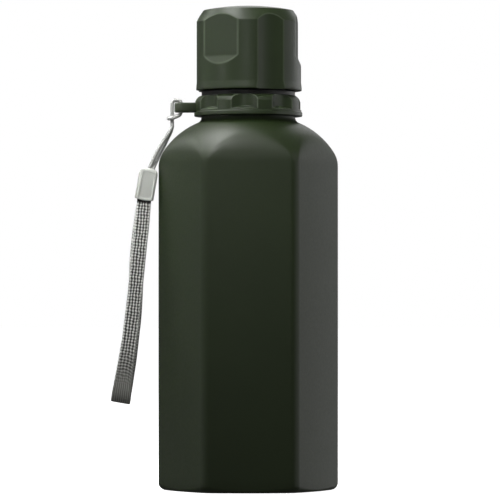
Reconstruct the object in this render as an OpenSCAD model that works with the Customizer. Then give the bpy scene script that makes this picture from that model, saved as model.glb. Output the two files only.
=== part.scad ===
// Vacuum-walled canteen with a six-sided body, a screw-on mouthpiece ring that carries a
// wrist strap, and a screw cap. Millimetres, +Z up, origin under the middle of the base.

/* [Body] */
// Width of the body across two opposite corners
body_w = 78; // [72:1:84]
// Rounding of the six upright corners
corner_r = 5; // [3:0.5:7]
// Rounding between the body and its base
base_r = 3.5; // [2.5:0.25:4]
// Height at which the straight sides end and the shoulder begins
side_h = 140.1; // [120:0.1:141]
// Thickness of the steel sheet
steel_t = 0.8; // [0.6:0.1:1]

/* [Neck] */
// Outer radius of the neck where it meets the shoulder
neck_r = 20.4; // [20.2:0.1:20.5]
// Radius over the crests of the neck's thread
neck_thread_r = 19; // [18.8:0.1:19]

/* [Mouthpiece] */
// Radius of the ring's upright side
ring_r = 23.1; // [22.5:0.1:23.5]
// Number of places for finger hollows round the ring, one of which the strap eye takes
hollow_count = 8; // [6:1:8]
// Radius of the drinking bore
bore_r = 13.9; // [12:0.1:14]
// Radius over the crests of the spout's thread
spout_thread_r = 17.2; // [16.8:0.1:17.2]

/* [Cap] */
// Outer radius of the cap
cap_r = 22.95; // [22.5:0.05:23.5]
// Distance of the grip flats and flutes from the axis
grip_d = 21.2; // [21:0.1:21.6]
// Number of grip flats, and of flutes between them
grip_count = 3; // [2:1:3]

/* [Strap] */
// Diameter of the round cord
cord_d = 1.6; // [1.4:0.1:1.6]
// Lean of the clasp from upright, in degrees
clasp_lean = 10; // [9:1:12]

/* [Hidden] */
$fn = 96;

OLIVE = [0.26, 0.30, 0.22];
STEEL = [0.72, 0.73, 0.74];
DARK = [0.08, 0.08, 0.08];
SILICONE = [0.80, 0.80, 0.78];
FOAM = [0.93, 0.92, 0.86];
CORD_GREY = [0.78, 0.77, 0.76];
WEB_GREY = [0.50, 0.50, 0.48];
CLASP_GREY = [0.69, 0.70, 0.67];

// --- Body profile: centres and radii of its arcs ---
half_w = body_w / 2;
flat_d = (half_w - corner_r) * cos(30) + corner_r;
low_r = 12.2;
low_turn = 33;
high_r = 33.5;
neck_fillet = 2.6;
low_cx = half_w - low_r;
high_cx = low_cx + low_r * cos(low_turn) - high_r * cos(low_turn);
high_cz = side_h + low_r * sin(low_turn) - high_r * sin(low_turn);
high_turn = acos((neck_r + neck_fillet - high_cx) / (high_r + neck_fillet));
fillet_cx = neck_r + neck_fillet;
fillet_cz = high_cz + (high_r + neck_fillet) * sin(high_turn);

// --- Heights above the base, from the neck up ---
neck_step_z = fillet_cz + 1.6;
lip_z = neck_step_z + 5.2;
mouth_z = lip_z + steel_t;
web_z = mouth_z + 1.6;
seat_z = web_z + 2;
spout_z = seat_z + 19.4;
cap_z = seat_z + 0.3;
cap_h = 36.85;
cap_top_z = cap_z + cap_h;
disc_z = spout_z + 1.8;

// --- Clearances ---
turn_gap = 0.3;
seal_gap = 0.1;
overshoot = 1;

// --- Inner flask ---
flask_r = 31.2;
flask_wall = 0.8;
flask_z = 8;
flask_bottom_r = 9;
flask_shoulder_r = 12;
flask_shoulder_turn = 75;
flask_shoulder_z = fillet_cz - 16.6;
flask_neck_r = 17.4;

// --- Base ---
base_hole_r = 31;
plate_z = 1.8;
plate_t = 0.8;
plate_hub_r = 14;
plate_hub_h = 0.8;
getter_r = 6;
getter_h = 3;

// --- Mouthpiece ---
skirt_r = 20.3;
skirt_bore_r = neck_thread_r + turn_gap;
skirt_z = neck_step_z + turn_gap;
spout_lip_r = 15.6;
spout_thread_z = seat_z + 13.4;
ring_z = neck_step_z - 1.2;
ring_lip_r = 23.5;
ring_lip_h = 1.9;
ring_dome = 3.4;
ring_side_z = ring_z + 6.25;
ring_top_z = ring_z + 9;
hollow_r = 9.35;
hollow_floor_z = ring_z + 2.6;
hollow_run = 1.1;
hollow_turn = -95.5;

// --- Strap eye: a tab with a slot and a bar across its outer end ---
eye_z = 166;
eye_h = 4.1;
eye_w = 9;
eye_end_x = -32.1;
eye_bar = 1.8;
eye_slot_x = 4.2;
eye_slot_y = 4.6;
eye_rib_h = 0.7;

// --- Cap ---
cap_flare = 0.3;
cap_flare_h = 3.5;
cap_bore_r = 19.6;
cap_step_z = disc_z + 3;
cap_step_r = 17.6;
cap_roof = 2.4;
cap_bevel = 3.4;
cap_bevel_h = 7.05;
crown_h = 1.9;
flat_turn = -35.2;
flute_turn = flat_turn + 180 / grip_count;
flute_r = 22.8;
flat_floor_z = cap_z + 14.5;
flat_run_h = 3.2;
liner_bore_r = spout_thread_r + turn_gap + 0.1;
liner_t = 2;
liner_rim_h = 0.2;

// --- Strap ---
clasp_pos = [-44.15, 0, 132.85];
clasp_size = [8.2, 5.4, 13.6];
clasp_corner = 1.8;
clasp_shoulder = 2.6;
clasp_cavity = [6.8, 3.8];
clasp_roof = 1.6;
clasp_slot = [3.8, 2.4];
clasp_slot_x = 0.55;
crimp_bore = [6.2, 3.2];
crimp_h = 9;
web_t = 0.9;
cord_sides = 8;

// Route of the hitch: up the front strand, over the bar, down through the slot, round the
// standing strands, back up through the slot, over the bar and down the rear strand
HITCH = [
    [-33.1, -0.9, 158.4], [-33.1, -0.9, 161], [-33.1, -0.9, 165], [-33.1, -0.9, 167.4],
    [-32.85, -0.9, 168.55], [-31.95, -0.9, 169.15], [-30.8, -0.9, 169.15], [-29.8, -0.9, 168.9],
    [-29.3, -0.9, 168], [-29.3, -1, 165.6], [-29.35, -1.3, 163.8], [-30.1, -2, 162.6],
    [-31.6, -2.5, 161.8], [-33.1, -2.6, 161.3], [-34.3, -1.9, 161.1], [-34.7, 0, 161.3],
    [-34.3, 1.9, 161.6], [-33.1, 2.6, 161.9], [-31.6, 2.5, 162.3], [-30.1, 2, 162.7],
    [-29.35, 1.3, 163.8], [-29.3, 1, 165.6], [-29.3, 0.9, 168], [-29.8, 0.9, 168.9],
    [-30.8, 0.9, 169.15], [-31.95, 0.9, 169.15], [-32.85, 0.9, 168.55], [-33.1, 0.9, 167.4],
    [-33.1, 0.9, 165], [-33.1, 0.9, 161], [-33.1, 0.9, 158.4]
];
// Routes of the two strands below the hitch, down into the clasp
STRAND_FRONT = [
    [-33.1, -0.9, 157.6], [-34.4, -0.9, 155.2], [-36.5, -0.9, 152], [-38.4, -0.9, 149],
    [-40, -0.8, 146], [-41.4, -0.6, 143], [-42.4, -0.3, 140.8], [-43.15, 0, 138.9],
    [-43.95, 0, 135.4]
];
STRAND_REAR = [
    [-33.1, 0.9, 157.6], [-33.8, 0.9, 155.2], [-35.4, 1, 152], [-36.8, 1, 149],
    [-38.5, 0.9, 146], [-39.8, 0.7, 143], [-40.8, 0.4, 140.8], [-41.45, 0, 138.9],
    [-42.25, 0, 135.4]
];
// Route of the webbing: down the front layer, round the fold, up the rear layer.
// The fourth number is the width there
WEBBING = [
    [-44.25, -1.1, 132.2, 6], [-44.8, -1.1, 129, 6], [-45.3, -1.1, 125.4, 6.1],
    [-45.7, -1.6, 121, 6.3], [-46.3, -2.1, 114, 6.4], [-47.2, -2.4, 106, 6.4],
    [-48.2, -2.6, 96, 6.4], [-49.2, -2.8, 86, 6.4], [-50.3, -3.2, 76, 6.5],
    [-51.6, -3.8, 66, 6.6], [-52.9, -4.4, 57, 6.9], [-53.9, -4.8, 50, 7.4],
    [-54.6, -4.5, 45, 7.9], [-55.1, -3.6, 41.6, 8.2], [-55.4, -1.9, 39, 8.4],
    [-55.5, 0, 38.1, 8.4], [-55.3, 1.9, 39, 8.4], [-54.9, 3.6, 41.6, 8.2],
    [-54.2, 4.5, 45, 7.9], [-53.2, 4.8, 50, 7.4], [-51.9, 4.4, 57, 6.9],
    [-50.7, 3.8, 66, 6.6], [-49.6, 3.2, 76, 6.5], [-49, 2.8, 86, 6.4],
    [-48.6, 2.6, 96, 6.4], [-47.9, 2.4, 106, 6.4], [-46.9, 2.1, 114, 6.4],
    [-45.9, 1.6, 121, 6.3], [-45.3, 1.1, 125.4, 6.1], [-44.8, 1.1, 129, 6],
    [-44.25, 1.1, 132.2, 6]
];

// --- Functions ---

// Points of an arc from angle a0 to a1, in n steps
function arc(cx, cz, r, a0, a1, n) =
    [for (i = [0 : n]) let (a = a0 + (a1 - a0) * i / n) [cx + r * cos(a), cz + r * sin(a)]];

// Outline of the body below the neck step, moved inwards by t
function body_outline(t) = concat(
    [[0, t]],
    arc(half_w - base_r, base_r, base_r - t, -90, 0, 8),
    arc(low_cx, side_h, low_r - t, 0, low_turn, 8),
    arc(high_cx, high_cz, high_r - t, low_turn + 4, high_turn, 10),
    arc(fillet_cx, fillet_cz, neck_fillet + t, 180 + high_turn, 180, 8)
);

// Outline of the flask, moved inwards by t
function flask_outline(t) = concat(
    [[0, flask_z + t]],
    arc(flask_r - flask_bottom_r, flask_z + flask_bottom_r, flask_bottom_r - t, -90, 0, 10),
    arc(flask_r - flask_shoulder_r, flask_shoulder_z, flask_shoulder_r - t, 0,
        flask_shoulder_turn, 12),
    [[flask_neck_r - t, flask_shoulder_z + flask_shoulder_r + 1.6]]
);

function unit(v) = v / norm(v);
function xyz(p) = [p[0], p[1], p[2]];

// Direction of travel at point i of a route
function heading(route, i) =
    unit(xyz(route[min(i + 1, len(route) - 1)]) - xyz(route[max(i - 1, 0)]));

// A side direction squared up to the heading t
function side_of(t, side) = unit(side - t * (t * side));

// Side vectors along a route from point i on, each carried over from the one before
function carried(route, i, side) =
    i == len(route) ? [] :
    let (s = side_of(heading(route, i), side)) concat([s], carried(route, i + 1, s));

// One ring of a round tube of radius r about point i, with n corners
function ring(route, i, side, r, n) =
    let (u = cross(heading(route, i), side))
    [for (k = [0 : n - 1]) route[i] + r * (side * cos(360 * (k + 0.5) / n)
        + u * sin(360 * (k + 0.5) / n))];

// One ring of a flat strip: a rectangle with its long side along the given direction
function strip_ring(route, i, along, t_half) =
    let (t = heading(route, i), s = side_of(t, along), u = cross(t, s), a = route[i][3] / 2)
    [for (c = [[1, 1], [-1, 1], [-1, -1], [1, -1]])
        xyz(route[i]) + s * a * c[0] + u * t_half * c[1]];

// --- Shared shapes ---

// Solid skin through a list of rings that all have n points
module skin(rings, n) {
    last = len(rings) - 1;
    sides = [for (i = [0 : last - 1]) for (k = [0 : n - 1])
        let (k2 = (k + 1) % n) [i * n + k, i * n + k2, (i + 1) * n + k2, (i + 1) * n + k]];
    start = [[for (k = [0 : n - 1]) n - 1 - k]];
    end = [[for (k = [0 : n - 1]) last * n + k]];
    polyhedron(points = [for (r = rings) each r], faces = concat(start, sides, end));
}

// Round cord along a route
module cord(route) {
    sides = carried(route, 0, [0, 1, 0]);
    last = len(route) - 1;
    skin([for (i = [0 : last]) ring(route, i, sides[i], cord_d / 2, cord_sides)], cord_sides);
}

// Ring of rectangular section between two radii and two heights
module tube(r_in, r_out, z0, z1) {
    translate([0, 0, z0])
        difference() {
            cylinder(r = r_out, h = z1 - z0);
            translate([0, 0, -overshoot])
                cylinder(r = r_in, h = z1 - z0 + 2 * overshoot);
        }
}

// Six-sided outline with round corners, whose flats face +Y and -Y
module hex_outline(t) {
    r = corner_r - t;
    reach = half_w - corner_r;
    for (i = [0 : 5])
        rotate(60 * i)
            translate([reach, 0])
                circle(r = r);
    for (i = [0 : 2])
        rotate(60 * i)
            square([reach, 2 * (flat_d - t)], center = true);
    circle(r = reach, $fn = 6);
}

// Body solid moved inwards by t: a turned form trimmed to the six-sided outline
module body_form(t) {
    intersection() {
        rotate_extrude()
            polygon(concat(body_outline(t), [[neck_r - t, neck_step_z - t], [0, neck_step_z - t]]));
        linear_extrude(lip_z)
            hex_outline(t);
    }
}

// --- Bottle ---

module outer_shell() {
    color(OLIVE)
        difference() {
            union() {
                body_form(0);
                translate([0, 0, neck_step_z - overshoot])
                    cylinder(r = neck_thread_r, h = lip_z - neck_step_z + overshoot);
            }
            body_form(steel_t);
            translate([0, 0, neck_step_z - 2 * overshoot])
                cylinder(r = neck_thread_r - 1, h = lip_z);
            translate([0, 0, -overshoot])
                cylinder(r = base_hole_r, h = 3 * overshoot);
        }
}

module inner_flask() {
    neck_z = flask_shoulder_z + flask_shoulder_r;
    color(STEEL)
        difference() {
            union() {
                rotate_extrude()
                    polygon(concat(flask_outline(0), [[0, neck_z + 1.6]]));
                translate([0, 0, neck_z])
                    cylinder(r = flask_neck_r, h = mouth_z - neck_z);
                translate([0, 0, lip_z])
                    cylinder(r = neck_thread_r, h = mouth_z - lip_z);
            }
            rotate_extrude()
                polygon(concat(flask_outline(flask_wall), [[0, neck_z + 1.6]]));
            translate([0, 0, neck_z])
                cylinder(r = flask_neck_r - flask_wall, h = mouth_z);
        }
}

module base_plate() {
    color(STEEL) {
        translate([0, 0, plate_z])
            difference() {
                cylinder(r = base_hole_r, h = plate_t);
                translate([0, 0, -overshoot])
                    cylinder(r = plate_hub_r, h = plate_t + 2 * overshoot);
            }
        translate([0, 0, plate_z + plate_hub_h])
            cylinder(r = plate_hub_r + 1, h = plate_t);
        tube(base_hole_r - 0.8, base_hole_r, 0.8, plate_z + 0.4);
    }
}

module getter_cup() {
    color(STEEL)
        translate([0, 0, plate_z + plate_hub_h + plate_t])
            difference() {
                cylinder(r = getter_r, h = getter_h);
                translate([0, 0, 1])
                    cylinder(r = getter_r - 0.6, h = getter_h);
            }
}

// --- Mouthpiece ---

module mouthpiece() {
    color(DARK)
        rotate_extrude()
            polygon([
                [skirt_bore_r, skirt_z], [skirt_r, skirt_z], [skirt_r, seat_z],
                [spout_thread_r - 0.8, seat_z], [spout_thread_r - 0.8, seat_z + 1],
                [spout_thread_r, seat_z + 1.4], [spout_thread_r, spout_thread_z],
                [spout_lip_r, spout_thread_z + 1.2], [spout_lip_r, spout_z - 0.6],
                [spout_lip_r - 0.6, spout_z], [bore_r + 0.4, spout_z],
                [bore_r, spout_z - 0.4], [bore_r, web_z], [skirt_bore_r, web_z]
            ]);
}

// Outline of the ring: bottom lip, upright side and domed top
module ring_outline() {
    polygon(concat(
        [[neck_r + 0.35, ring_z], [ring_lip_r, ring_z], [ring_lip_r, ring_z + ring_lip_h - 0.3],
            [ring_r, ring_z + ring_lip_h], [ring_r, ring_side_z]],
        arc(ring_r - ring_dome, ring_side_z - 0.6, ring_dome, 20, 74, 6),
        [[skirt_r, ring_top_z], [skirt_r, skirt_z], [neck_r + 0.35, skirt_z]]
    ));
}

// Finger hollow: a round groove whose floor slopes down to the ring's outside
module finger_hollow() {
    difference() {
        translate([-(skirt_r + hollow_r + 0.1), 0, hollow_floor_z])
            cylinder(r = hollow_r, h = ring_top_z);
        translate([0, 0, hollow_floor_z - 0.2])
            cylinder(r1 = ring_r + 0.6, r2 = skirt_r, h = hollow_run + 0.2);
    }
}

// Tab outline seen from above
module eye_outline() {
    tip = eye_w / 2 - 1.5;
    difference() {
        union() {
            for (s = [-1, 1])
                translate([eye_end_x + 1.5, s * tip])
                    circle(r = 1.5);
            translate([eye_end_x, -tip])
                square([-eye_end_x - skirt_r - 0.6, 2 * tip]);
            translate([eye_end_x + 1.5, -eye_w / 2])
                square([-eye_end_x - skirt_r - 2.1, eye_w]);
        }
        translate([eye_end_x + eye_bar, -eye_slot_y / 2])
            square([eye_slot_x, eye_slot_y]);
    }
}

module strap_eye() {
    translate([0, 0, eye_z - eye_h / 2])
        linear_extrude(eye_h)
            eye_outline();
    translate([-25.4, -1.2, eye_z - eye_h / 2 - eye_rib_h])
        cube([3, 2.4, eye_h]);
}

module collar_ring() {
    color(OLIVE)
        union() {
            difference() {
                rotate_extrude()
                    ring_outline();
                for (i = [1 : hollow_count - 1])
                    rotate(hollow_turn + 90 + i * 360 / hollow_count)
                        finger_hollow();
            }
            strap_eye();
        }
}

module mouthpiece_gasket() {
    color(SILICONE)
        tube(flask_neck_r - 0.4, neck_thread_r - 0.1, mouth_z + seal_gap, web_z - seal_gap);
}

// --- Cap ---

// Turned outside of the cap, with a low crown on its top
module cap_form() {
    bevel_z = cap_top_z - cap_bevel_h;
    crown_r = (pow(cap_r - cap_bevel, 2) + crown_h * crown_h) / (2 * crown_h);
    rotate_extrude()
        polygon(concat(
            [[0, cap_z], [cap_r + cap_flare - 0.3, cap_z], [cap_r + cap_flare, cap_z + 0.3],
                [cap_r + cap_flare, cap_z + 1], [cap_r, cap_z + cap_flare_h], [cap_r, bevel_z]],
            [for (i = [0 : 6]) let (x = (cap_r - cap_bevel) * (1 - i / 6))
                [x, cap_top_z - crown_r + sqrt(crown_r * crown_r - x * x)]]
        ));
}

// Cutter of one grip flat: a slab whose foot slopes outwards
module flat_cutter() {
    reach = cap_r + cap_flare + overshoot;
    rotate([90, 0, 90])
        linear_extrude(cap_r, center = true)
            polygon([
                [grip_d, flat_floor_z], [reach, flat_floor_z - flat_run_h * (reach - grip_d) / 1.6],
                [reach, cap_top_z + overshoot], [grip_d, cap_top_z + overshoot]
            ]);
}

// Cutter of one full-height flute
module flute_cutter() {
    translate([0, grip_d + flute_r, cap_z - overshoot])
        cylinder(r = flute_r, h = cap_h + 2 * overshoot);
}

module cap_shell() {
    roof_z = cap_top_z - cap_roof - crown_h;
    color(OLIVE)
        difference() {
            cap_form();
            for (i = [0 : grip_count - 1]) {
                rotate(180 + flat_turn + i * 360 / grip_count)
                    flat_cutter();
                rotate(180 + flute_turn + i * 360 / grip_count)
                    flute_cutter();
            }
            translate([0, 0, cap_z - overshoot])
                cylinder(r = cap_bore_r, h = cap_step_z - cap_z + overshoot);
            translate([0, 0, cap_step_z - overshoot])
                cylinder(r = cap_step_r, h = roof_z - cap_step_z + overshoot);
        }
}

module cap_liner() {
    color(DARK)
        difference() {
            translate([0, 0, cap_z + liner_rim_h])
                cylinder(r = cap_bore_r, h = disc_z + liner_t - cap_z - liner_rim_h);
            translate([0, 0, cap_z])
                cylinder(r = liner_bore_r, h = disc_z - cap_z);
        }
}

module cap_insulation() {
    roof_z = cap_top_z - cap_roof - crown_h;
    color(FOAM)
        translate([0, 0, disc_z + liner_t])
            cylinder(r = cap_step_r - 0.3, h = roof_z - disc_z - liner_t - 0.2);
}

module cap_gasket() {
    color(SILICONE)
        tube(bore_r - 0.9, spout_thread_r - 0.2, spout_z + seal_gap, disc_z - seal_gap);
}

// --- Strap ---

module strap_hitch() {
    color(CORD_GREY)
        cord(HITCH);
}

module strap_cord() {
    color(CORD_GREY) {
        cord(STRAND_FRONT);
        cord(STRAND_REAR);
    }
}

// Rectangle with round corners, centred
module round_rect(size, r) {
    square([size[0] - 2 * r, size[1]], center = true);
    square([size[0], size[1] - 2 * r], center = true);
    for (x = [-1, 1])
        for (y = [-1, 1])
            translate([x * (size[0] / 2 - r), y * (size[1] / 2 - r)])
                circle(r = r);
}

// Places a clasp part, drawn upright about its middle
module in_clasp() {
    translate(clasp_pos)
        rotate([0, clasp_lean, 0])
            children();
}

module clasp_housing() {
    height = clasp_size[2];
    color(CLASP_GREY)
        in_clasp()
            difference() {
                intersection() {
                    linear_extrude(height, center = true)
                        round_rect([clasp_size[0], clasp_size[1]], clasp_corner);
                    rotate([90, 0, 0])
                        linear_extrude(2 * height, center = true)
                            translate([0, -height / 4])
                                round_rect([clasp_size[0], height * 1.5], clasp_shoulder);
                }
                translate([0, 0, -height / 2 - overshoot])
                    linear_extrude(height - clasp_roof + overshoot)
                        square(clasp_cavity, center = true);
                translate([clasp_slot_x, 0, 0])
                    linear_extrude(height)
                        square(clasp_slot, center = true);
            }
}

module clasp_crimp() {
    color(STEEL)
        in_clasp()
            translate([0, 0, clasp_size[2] / 2 - clasp_roof - crimp_h])
                linear_extrude(crimp_h)
                    difference() {
                        square(clasp_cavity, center = true);
                        square(crimp_bore, center = true);
                    }
}

module strap_webbing() {
    across = [cos(clasp_lean), 0, -sin(clasp_lean)];
    color(WEB_GREY)
        skin([for (i = [0 : len(WEBBING) - 1]) strip_ring(WEBBING, i, across, web_t / 2)], 4);
}

outer_shell();
inner_flask();
base_plate();
getter_cup();
mouthpiece();
collar_ring();
mouthpiece_gasket();
cap_shell();
cap_liner();
cap_insulation();
cap_gasket();
strap_hitch();
strap_cord();
clasp_housing();
clasp_crimp();
strap_webbing();
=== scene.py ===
"""Looks of the canteen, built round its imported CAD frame.

Meshes are drawn in millimetres in the CAD frame and scaled to metres by mesh_piece().
Lights, camera and floor are in metres. +Z is up and the camera looks along +Y.
"""

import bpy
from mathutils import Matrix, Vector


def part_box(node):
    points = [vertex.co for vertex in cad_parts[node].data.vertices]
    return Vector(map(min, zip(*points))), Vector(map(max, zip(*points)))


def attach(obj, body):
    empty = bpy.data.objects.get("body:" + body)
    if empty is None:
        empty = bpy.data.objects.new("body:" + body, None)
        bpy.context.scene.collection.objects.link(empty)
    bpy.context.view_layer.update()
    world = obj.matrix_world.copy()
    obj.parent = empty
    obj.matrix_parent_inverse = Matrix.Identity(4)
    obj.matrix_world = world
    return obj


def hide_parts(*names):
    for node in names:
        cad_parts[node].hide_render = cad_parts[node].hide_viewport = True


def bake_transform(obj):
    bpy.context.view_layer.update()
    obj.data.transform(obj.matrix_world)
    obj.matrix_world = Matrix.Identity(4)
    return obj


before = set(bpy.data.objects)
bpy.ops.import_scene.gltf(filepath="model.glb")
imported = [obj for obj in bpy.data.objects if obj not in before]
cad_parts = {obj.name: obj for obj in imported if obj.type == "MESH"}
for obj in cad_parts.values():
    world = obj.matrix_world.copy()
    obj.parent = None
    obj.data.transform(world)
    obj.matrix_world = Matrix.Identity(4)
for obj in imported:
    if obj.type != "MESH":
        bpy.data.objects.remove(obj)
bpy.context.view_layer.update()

import math

import bpy
import numpy as np
from mathutils import Vector

MM = 0.001
FULL_TURN = 2 * math.pi


def box_mm(node):
    """Lowest and highest corner of a CAD node, in millimetres."""
    return [np.array(corner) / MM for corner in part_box(node)]


# --- Sizes taken from the frame ---

shell_hi = box_mm("outer_shell")[1]
ring_lo = box_mm("collar_ring")[0]
spout_lo, spout_hi = box_mm("mouthpiece")
cap_lo, cap_hi = box_mm("cap_shell")
clasp_lo = box_mm("clasp_housing")[0]

HALF_W = shell_hi[0]
FLAT_D = shell_hi[1]
LIP_Z = shell_hi[2]
RING_Z, EYE_END_X = ring_lo[2], ring_lo[0]
SPOUT_Z, SKIRT_R = spout_hi[2], spout_hi[0]
CAP_Z, CAP_TOP_Z, FLARE_R = cap_lo[2], cap_hi[2], cap_hi[0]


# --- Camera ---

CAMERA_AWAY, CAMERA_Z = 1.70, 0.080
CAMERA_TURN = math.radians(-1.25)
# The camera looks up, and to its right, by these angles.
CAMERA_TILT, CAMERA_ASIDE = math.radians(0.813), math.radians(0.025)
LENS = 281.7


def make_camera():
    data = bpy.data.cameras.new("camera")
    data.lens = LENS
    data.sensor_width = 36
    data.clip_end = 50
    camera = bpy.data.objects.new("camera", data)
    camera.location = (
        CAMERA_AWAY * math.sin(CAMERA_TURN),
        -CAMERA_AWAY * math.cos(CAMERA_TURN),
        CAMERA_Z,
    )
    camera.rotation_euler = (math.radians(90) + CAMERA_TILT, 0, CAMERA_TURN - CAMERA_ASIDE)
    bpy.context.collection.objects.link(camera)
    bpy.context.scene.camera = camera


make_camera()


# --- Mesh tools ---

FAR = 1e3
# Width in millimetres over which an edge gets a painted highlight.
EDGE_HIGHLIGHT_WIDTH = 0.32
# A thread ridge, in pitches: half its foot, and its flank. Each end fades in over a pitch / RIDGE_FADE.
RIDGE_FOOT, RIDGE_FLANK, RIDGE_FADE = 0.28, 0.12, 3


def signed_volume(points, faces):
    """Volume inside a mesh of quads and triangles, below zero where its faces look inwards."""
    total = 0.0
    for corners in (3, 4):
        some = np.array([f for f in faces if len(f) == corners], int)
        if not len(some):
            continue
        for k in range(1, corners - 1):
            a, b, c = points[some[:, 0]], points[some[:, k]], points[some[:, k + 1]]
            total += float(np.sum(a * np.cross(b, c))) / 6
    return total


def mesh_piece(name, points_mm, faces, uvs=None):
    """Object of that mesh. The points are in millimetres, and uvs has one pair for each point."""
    points = np.asarray(points_mm, float) * MM
    if signed_volume(points, faces) < 0:
        faces = [f[::-1] for f in faces]
    mesh = bpy.data.meshes.new(name)
    mesh.from_pydata(points.tolist(), [], faces)
    if uvs is not None:
        layer = mesh.uv_layers.new(name="pattern")
        corner_points = np.empty(len(mesh.loops), int)
        mesh.loops.foreach_get("vertex_index", corner_points)
        layer.data.foreach_set("uv", np.asarray(uvs, float)[corner_points].ravel())
    mesh.shade_smooth()
    mesh.update()
    piece = bpy.data.objects.new(name, mesh)
    bpy.context.collection.objects.link(piece)
    return piece


def grid_faces(n_rows, n_columns, closed_rows):
    """Quads between rows of points. Columns always close on themselves, rows if asked."""
    index = np.arange(n_rows * n_columns).reshape(n_rows, n_columns)
    below = index if closed_rows else index[:-1]
    above = np.roll(index, -1, axis=0) if closed_rows else index[1:]
    quads = np.stack(
        [below, np.roll(below, -1, axis=1), np.roll(above, -1, axis=1), above], axis=-1
    )
    return quads.reshape(-1, 4).tolist()


def grid_piece(name, rows, closed_rows=False, uvs=None):
    """Closed mesh through rows of points, an array of (row, column, xyz).

    Open rows get a fan at each end.
    """
    n_rows, n_columns = rows.shape[:2]
    faces = grid_faces(n_rows, n_columns, closed_rows)
    points = rows.reshape(-1, 3)
    if uvs is not None:
        uvs = uvs.reshape(-1, 2)
    if not closed_rows:
        for row, start in ((0, 0), (n_rows - 1, (n_rows - 1) * n_columns)):
            centre = len(points)
            points = np.vstack([points, rows[row].mean(axis=0)])
            if uvs is not None:
                uvs = np.vstack([uvs, uvs[start]])
            for k in range(n_columns):
                pair = [start + k, start + (k + 1) % n_columns]
                faces.append((pair[::-1] if row == 0 else pair) + [centre])
    return mesh_piece(name, points, faces, uvs)


def polar_rows(radius, height, theta):
    """Rows of points from radii and heights of shape (row, column) or (row, 1)."""
    radius, height = np.broadcast_arrays(radius, height + 0 * theta)
    return np.stack([radius * np.cos(theta), radius * np.sin(theta), height], axis=-1)


def smooth_min(a, b, k):
    """The smaller of a and b, rounded over where they come within k of each other."""
    overlap = np.maximum(k - np.abs(a - b), 0)
    return np.minimum(a, b) - overlap**2 / (4 * k)


def near_edge(a, b, width):
    """1 where two surfaces meet, down to 0 where they are the width apart."""
    return np.clip(1 - np.abs(a - b) / width, 0, 1)


def ramp(value, width):
    """Smooth step from 0 at nothing to 1 at the width."""
    t = np.clip(value / width, 0, 1)
    return t * t * (3 - 2 * t)


def arc(cx, cz, r, a0, a1, n):
    """Points (r, z) of an arc, with its angles in degrees."""
    angles = np.radians(np.linspace(a0, a1, n + 1))
    return [(cx + r * math.cos(a), cz + r * math.sin(a)) for a in angles]


def filleted(corners, segments=5):
    """Outline through (r, z) or (r, z, fillet) corners, where each fillet rounds its corner."""
    out = []
    for i, corner in enumerate(corners):
        here = np.array(corner[:2], float)
        if len(corner) < 3:
            out.append(here)
            continue
        before = np.array(corners[i - 1][:2], float) - here
        after = np.array(corners[(i + 1) % len(corners)][:2], float) - here
        before /= np.linalg.norm(before)
        after /= np.linalg.norm(after)
        half = math.acos(np.clip(before @ after, -1, 1)) / 2
        reach = corner[2] / math.tan(half)
        centre = here + (before + after) / np.linalg.norm(before + after) * (
            corner[2] / math.sin(half)
        )
        start, end = here + before * reach - centre, here + after * reach - centre
        for t in np.linspace(0, 1, segments + 1):
            spoke = start * (1 - t) + end * t
            out.append(centre + spoke / np.linalg.norm(spoke) * corner[2])
    return np.array(out)


def dense(outline, step):
    """The outline with points added so that none are further apart than step."""
    out = [outline[0]]
    for a, b in zip(outline[:-1], outline[1:]):
        n = max(1, math.ceil(np.linalg.norm(b - a) / step))
        out += [a + (b - a) * k / n for k in range(1, n + 1)]
    return np.array(out)


def columns(n):
    """Angles of n columns round the axis, as one row."""
    return np.linspace(0, FULL_TURN, n, endpoint=False)[None, :]


def thread_ridge(theta, height, z0, z1, pitch, depth):
    """Height of a right-hand thread ridge over its core, faded in and out at its two ends."""
    turn = (height - z0) / pitch
    phase = (turn - theta / FULL_TURN) % 1.0
    ridge = np.clip((RIDGE_FOOT - np.abs(phase - 0.5)) / RIDGE_FLANK, 0, 1)
    fade = np.clip(turn * RIDGE_FADE, 0, 1) * np.clip((z1 - height) / pitch * RIDGE_FADE, 0, 1)
    return depth * ridge * ridge * (3 - 2 * ridge) * fade


# --- Bottle body ---

CORNER_R = 5.0
# The shoulder is two arcs. The low one turns by LOW_TURN degrees from the sides' top, SIDE_H.
LOW_R, LOW_TURN, SIDE_H = 12.2, 33, 140.1
HIGH_R = 33.5
# The step under the neck starts and ends this far above the centre of the neck's fillet.
STEP_FOOT, STEP_TOP, STEP_EDGE = 0.6, 1.6, 0.5
NECK_R, NECK_FILLET = 20.4, 2.6
NECK_CORE_R, NECK_LIP_R, NECK_BORE_R = 18.3, 18.2, 17.6
NECK_THREAD_H, NECK_THREAD_MARGIN = 0.7, 0.4
THREAD_PITCH = 4.0
SIDE_LEVELS = (136, 132, 126, 118, 108, 96, 80, 60, 40, 20, 10, 6)
# The arches where the flats meet the shoulder are rounded by CREASE, and by ARCH_BLEND more from
# ARCH_Z up, coming in over ARCH_RISE.
CREASE, LEAST_CREASE = 3.0, 0.02
ARCH_BLEND, ARCH_Z, ARCH_RISE = 3.0, 137, 9
# Each flat bows outwards by BOW, and BOW_FALL sets how soon that ends towards the corners.
BOW, BOW_FALL = 0.22, 1.2
WALL = 0.8
# Rounding at the foot under the flats, and what it gains at the corners.
FOOT_ROUND, FOOT_CORNER = 1.3, 1.9
# One row under the body lies half way from the foot to the rim, at half of each radius.
RIM_R, HALF_RIM, RIM_CHAMFER = 31.3, 15.7, 0.3
BASE_HOLE_R = 31.0


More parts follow.
